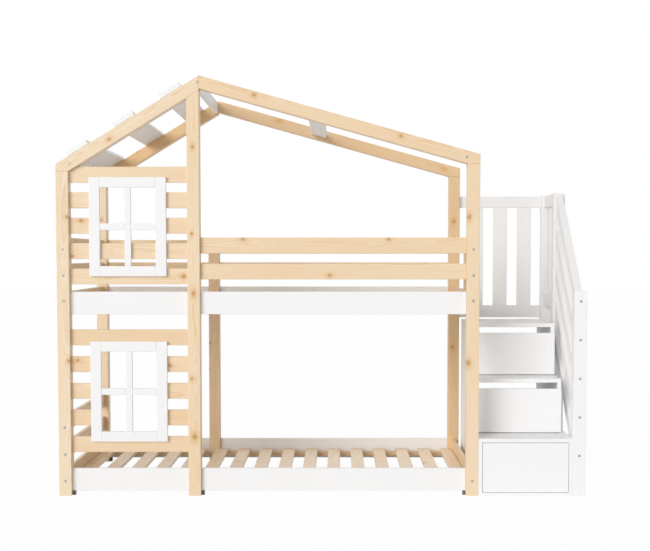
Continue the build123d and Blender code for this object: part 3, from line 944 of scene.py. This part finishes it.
def screw_rows_tree():
    """A tree that sets screws in a grid, each turned by chance."""
    tree = bpy.data.node_groups.new("Screw rows", "GeometryNodeTree")
    tree.interface.new_socket("Geometry", in_out="OUTPUT", socket_type="NodeSocketGeometry")
    for label, kind in (
        ("Columns", INTEGER),
        ("Pitch", FLOAT),
        ("Rows", INTEGER),
        ("Span", FLOAT),
        ("Turn", VECTOR),
        ("Centre", VECTOR),
        ("Head", "NodeSocketObject"),
        ("Metal", "NodeSocketMaterial"),
        ("Spin Seed", INTEGER),
    ):
        tree.interface.new_socket(label, in_out="INPUT", socket_type=kind)
    source = tree.nodes.new("NodeGroupInput").outputs
    target = tree.nodes.new("NodeGroupOutput").inputs
    gaps = calc(tree, "SUBTRACT", source["Columns"], 1.0)
    values = {
        "Size X": calc(tree, "MULTIPLY", gaps, source["Pitch"]),
        "Size Y": source["Span"],
        "Vertices X": source["Columns"],
        "Vertices Y": source["Rows"],
    }
    grid = add_node(tree, "GeometryNodeMeshGrid", values)
    head = add_node(tree, "GeometryNodeObjectInfo", {"Object": source["Head"]})
    values = {0: (0.0, 0.0, 0.0), 1: (0.0, 0.0, math.tau), "Seed": source["Spin Seed"]}
    spin = add_node(tree, "FunctionNodeRandomValue", values, data_type="FLOAT_VECTOR")
    values = {
        "Points": grid.outputs["Mesh"],
        "Instance": head.outputs["Geometry"],
        "Rotation": spin.outputs[0],
    }
    heads = add_node(tree, "GeometryNodeInstanceOnPoints", values)
    values = {"Geometry": heads.outputs["Instances"]}
    real = add_node(tree, "GeometryNodeRealizeInstances", values)
    values = {
        "Geometry": real.outputs["Geometry"],
        "Translation": source["Centre"],
        "Rotation": source["Turn"],
    }
    placed = add_node(tree, "GeometryNodeTransform", values)
    values = {"Geometry": placed.outputs["Geometry"], "Material": source["Metal"]}
    metal = add_node(tree, "GeometryNodeSetMaterial", values)
    join(tree, target, {"Geometry": metal.outputs["Geometry"]})
    return tree


def grown(name, tree, values):
    """The plain mesh object that a geometry tree makes from the values given."""
    carrier = bpy.data.objects.new(f"{name}_carrier", bpy.data.meshes.new(f"{name}_carrier"))
    bpy.context.scene.collection.objects.link(carrier)
    modifier = carrier.modifiers.new(name, "NODES")
    modifier.node_group = tree
    for item in tree.interface.items_tree:
        if item.item_type == "SOCKET" and item.in_out == "INPUT":
            modifier[item.identifier] = values[item.name]
    depsgraph = bpy.context.evaluated_depsgraph_get()
    mesh = bpy.data.meshes.new_from_object(carrier.evaluated_get(depsgraph))
    mesh.name = name
    made = bpy.data.objects.new(name, mesh)
    bpy.context.scene.collection.objects.link(made)
    bpy.data.objects.remove(carrier, do_unlink=True)
    return made


# First seed for the turns of each kind of screw, with one more for each further set
SLAT_SPIN = 5
ROOF_SPIN = 9
WINDOW_SPIN = 13


def set_screws(name, seed, values):
    """One set of screws in rows, made, finished and fixed to the bed."""
    finish = bpy.context.scene.house_bed_hardware
    template = bpy.data.objects.get("screw_head")
    if template is None:
        mesh = screw_head(finish.head_radius, finish.head_rise)
        template = bpy.data.objects.new("screw_head", mesh)
        bpy.context.scene.collection.objects.link(template)
    tree = bpy.data.node_groups.get("Screw rows") or screw_rows_tree()
    common = {"Head": template, "Metal": bpy.data.materials["zinc"], "Spin Seed": seed}
    screws = grown(name, tree, {**values, **common})
    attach(screws, "frame")


class AddSlatScrews(bpy.types.Operator):
    """Set a screw in each end of every slat."""

    bl_idname = "house_bed.add_slat_screws"
    bl_label = "Add slat screws"

    def execute(self, context):
        finish = context.scene.house_bed_hardware
        for seed, level in enumerate(("lower", "upper"), SLAT_SPIN):
            low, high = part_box(f"slats_{level}")
            values = {
                "Columns": finish.slats,
                "Pitch": (high[0] - low[0] - finish.slat_width) / (finish.slats - 1),
                "Rows": 2,
                "Span": high[1] - low[1] - 2 * finish.seat,
                "Turn": (0.0, 0.0, 0.0),
                "Centre": ((low[0] + high[0]) / 2, (low[1] + high[1]) / 2, high[2]),
            }
            set_screws(f"slat_screws_{level}", seed, values)
        return {"FINISHED"}


class AddRoofScrews(bpy.types.Operator):
    """Set two screws in each end of every roof board, square to the slope."""

    bl_idname = "house_bed.add_roof_screws"
    bl_label = "Add roof screws"

    def execute(self, context):
        finish = context.scene.house_bed_hardware
        boards = 3
        slope = roof_slope("rafter_front_left")
        low, high = (Vector(corner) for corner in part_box("roof_boards"))
        thickness = finish.roof_board_thickness
        length = (high.x - low.x - thickness * math.sin(slope)) / math.cos(slope)
        upward = Vector((-math.sin(slope), 0.0, math.cos(slope)))
        along = Vector((math.cos(slope), 0.0, math.sin(slope)))
        middle = (low + high) / 2 + upward * thickness / 2
        for place, side in enumerate((-0.5, 0.5)):
            values = {
                "Columns": boards,
                "Pitch": (length - finish.roof_board_width) / (boards - 1),
                "Rows": 2,
                "Span": high.y - low.y - POST_WIDTH,
                "Turn": (0.0, -slope, 0.0),
                "Centre": middle + along * side * finish.roof_screw_gap,
            }
            set_screws(f"roof_screws_{place + 1}", place + ROOF_SPIN, values)
        return {"FINISHED"}


class AddWindowScrews(bpy.types.Operator):
    """Set screws through the wall boards into the window stiles, seen from inside the bed."""

    bl_idname = "house_bed.add_window_screws"
    bl_label = "Add window screws"

    def execute(self, context):
        finish = context.scene.house_bed_hardware
        # The stiles cross three boards, whose middle one has two of its wall's boards below it
        boards = 3
        boards_below = 2
        for seed, level in enumerate(("lower", "upper"), WINDOW_SPIN):
            node = f"wall_boards_{level}"
            _, _, pitch, width = next(row for row in PINE_BOARDS if row[0] == node)
            low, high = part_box(f"window_{level}_frame")
            boards_low, boards_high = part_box(node)
            middle = boards_low[2] + width / 2 + boards_below * pitch
            values = {
                "Columns": 2,
                "Pitch": high[0] - low[0] - finish.window_stile,
                "Rows": boards,
                "Span": (boards - 1) * pitch,
                "Turn": (-math.pi / 2, 0.0, 0.0),
                "Centre": ((low[0] + high[0]) / 2, boards_high[1], middle),
            }
            set_screws(f"window_screws_{level}", seed, values)
        return {"FINISHED"}


WHITE = (1.0, 1.0, 1.0, 1.0)

# Half the length of the floor's sides, in metres
FLOOR_HALF = 30.0

# The photo: its width and how far its view centre lies right of and below its middle, in pixels
PICTURE_WIDTH = 650.0
AXIS_RIGHT = 12.0
AXIS_DOWN = 38.7


def seen_mask(tree):
    """1 for what the camera sees, straight, mirrored or through glass, and 0 for lighting."""
    path = tree.nodes.new("ShaderNodeLightPath").outputs
    seen = calc(tree, "MAXIMUM", path["Is Camera Ray"], path["Is Glossy Ray"])
    return calc(tree, "MAXIMUM", seen, path["Is Transmission Ray"])


def floor_material(setting):
    """Pale floor that the camera sees as nearly plain white."""
    material = bpy.data.materials.new("floor")
    tree = cleared_tree(material)
    matte = add_node(tree, "ShaderNodeBsdfDiffuse", {"Color": (*setting.floor, 1.0)})
    glow = add_node(tree, "ShaderNodeEmission", {"Color": WHITE, "Strength": 1.0})
    share = calc(tree, "MULTIPLY", seen_mask(tree), setting.floor_glow)
    values = {0: share, 1: matte.outputs[0], 2: glow.outputs[0]}
    mixed = add_node(tree, "ShaderNodeMixShader", values)
    add_node(tree, "ShaderNodeOutputMaterial", {"Surface": mixed.outputs[0]})
    return material


def broad_light(name, strength, rise, swing, spread):
    """A distant light with soft shadows, swung to the left of the bed's front."""
    data = bpy.data.lights.new(name, "SUN")
    data.energy = strength
    data.angle = spread
    light = bpy.data.objects.new(name, data)
    light.rotation_euler = (math.pi / 2 - rise, 0.0, -swing)
    bpy.context.scene.collection.objects.link(light)


class SetStage(bpy.types.Operator):
    """Lay the floor, hang the lamps and place the camera."""

    bl_idname = "house_bed.set_stage"
    bl_label = "Set stage"

    def execute(self, context):
        scene = context.scene
        setting = scene.house_bed_stage
        scene.view_settings.view_transform = "Standard"
        self.lay_floor(scene, setting)
        self.light(scene, setting)
        self.place_camera(scene, setting)
        return {"FINISHED"}

    def lay_floor(self, scene, setting):
        """A flat floor under the bed."""
        mesh = bpy.data.meshes.new("floor")
        turns = ((-1, -1), (1, -1), (1, 1), (-1, 1))
        corners = [(x * FLOOR_HALF, y * FLOOR_HALF, 0.0) for x, y in turns]
        mesh.from_pydata(corners, (), ((0, 1, 2, 3),))
        mesh.materials.append(floor_material(setting))
        floor = bpy.data.objects.new("floor", mesh)
        scene.collection.objects.link(floor)

    def light(self, scene, setting):
        """Even light from all round, a key light from the front and a fill light from behind."""
        world = bpy.data.worlds.new("studio")
        scene.world = world
        tree = cleared_tree(world)
        soft = add_node(tree, "ShaderNodeBackground", {"Color": WHITE, "Strength": setting.sky})
        plain = add_node(tree, "ShaderNodeBackground", {"Color": WHITE, "Strength": 1.0})
        values = {0: seen_mask(tree), 1: soft.outputs[0], 2: plain.outputs[0]}
        mixed = add_node(tree, "ShaderNodeMixShader", values)
        add_node(tree, "ShaderNodeOutputWorld", {"Surface": mixed.outputs[0]})
        broad_light("key", setting.key, setting.key_rise, setting.key_swing, setting.spread)
        broad_light("fill", setting.fill, setting.fill_rise, math.pi, setting.spread)

    def place_camera(self, scene, setting):
        """The camera as it was solved from edges in the photo."""
        data = bpy.data.cameras.new("camera")
        data.sensor_fit = "HORIZONTAL"
        data.sensor_width = 36.0
        data.lens = setting.focal_px / PICTURE_WIDTH * data.sensor_width
        data.shift_x = -AXIS_RIGHT / PICTURE_WIDTH
        data.shift_y = AXIS_DOWN / PICTURE_WIDTH
        camera = bpy.data.objects.new("camera", data)
        left = cad_bounds[0][0]
        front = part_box("post_front_left")[0][1]
        camera.location = (left + setting.eye_along, front - setting.distance, setting.eye_height)
        camera.rotation_euler = (math.pi / 2 - setting.pitch, 0.0, 0.0)
        scene.collection.objects.link(camera)
        scene.camera = camera


class HouseBedPanel(bpy.types.Panel):
    """Sizes, colours and steps of the house bed."""

    bl_idname = "VIEW3D_PT_house_bed"
    bl_label = "House bed"
    bl_space_type = "VIEW_3D"
    bl_region_type = "UI"
    bl_category = "House bed"

    def draw(self, context):
        layout = self.layout
        for name in PROPERTY_GROUPS:
            group = getattr(context.scene, name)
            box = layout.box()
            for key in group.__annotations__:
                box.prop(group, key)
        for operator in OPERATORS:
            layout.operator(operator.bl_idname)


OPERATORS = (
    SetStage,
    DressPine,
    DressPaint,
    DressHardware,
    AddSlatScrews,
    AddRoofScrews,
    AddWindowScrews,
)
PROPERTY_GROUPS = {
    "house_bed_pine": PineFinish,
    "house_bed_paint": PaintFinish,
    "house_bed_hardware": HardwareFinish,
    "house_bed_stage": StageSetting,
}


def register():
    """Adds the settings, the operators and the panel to Blender."""
    for name, group in PROPERTY_GROUPS.items():
        bpy.utils.register_class(group)
        setattr(bpy.types.Scene, name, PointerProperty(type=group))
    for entry in (*OPERATORS, HouseBedPanel):
        bpy.utils.register_class(entry)


def unregister():
    """Takes the panel, the operators and the settings out again."""
    for entry in (HouseBedPanel, *reversed(OPERATORS)):
        bpy.utils.unregister_class(entry)
    for name, group in reversed(PROPERTY_GROUPS.items()):
        delattr(bpy.types.Scene, name)
        bpy.utils.unregister_class(group)


def main():
    """Runs every operator."""
    register()
    for operator in OPERATORS:
        group, name = operator.bl_idname.split(".")
        getattr(getattr(bpy.ops, group), name)()
    bpy.data.objects.remove(bpy.data.objects["screw_head"], do_unlink=True)


if __name__ == "__main__":
    main()
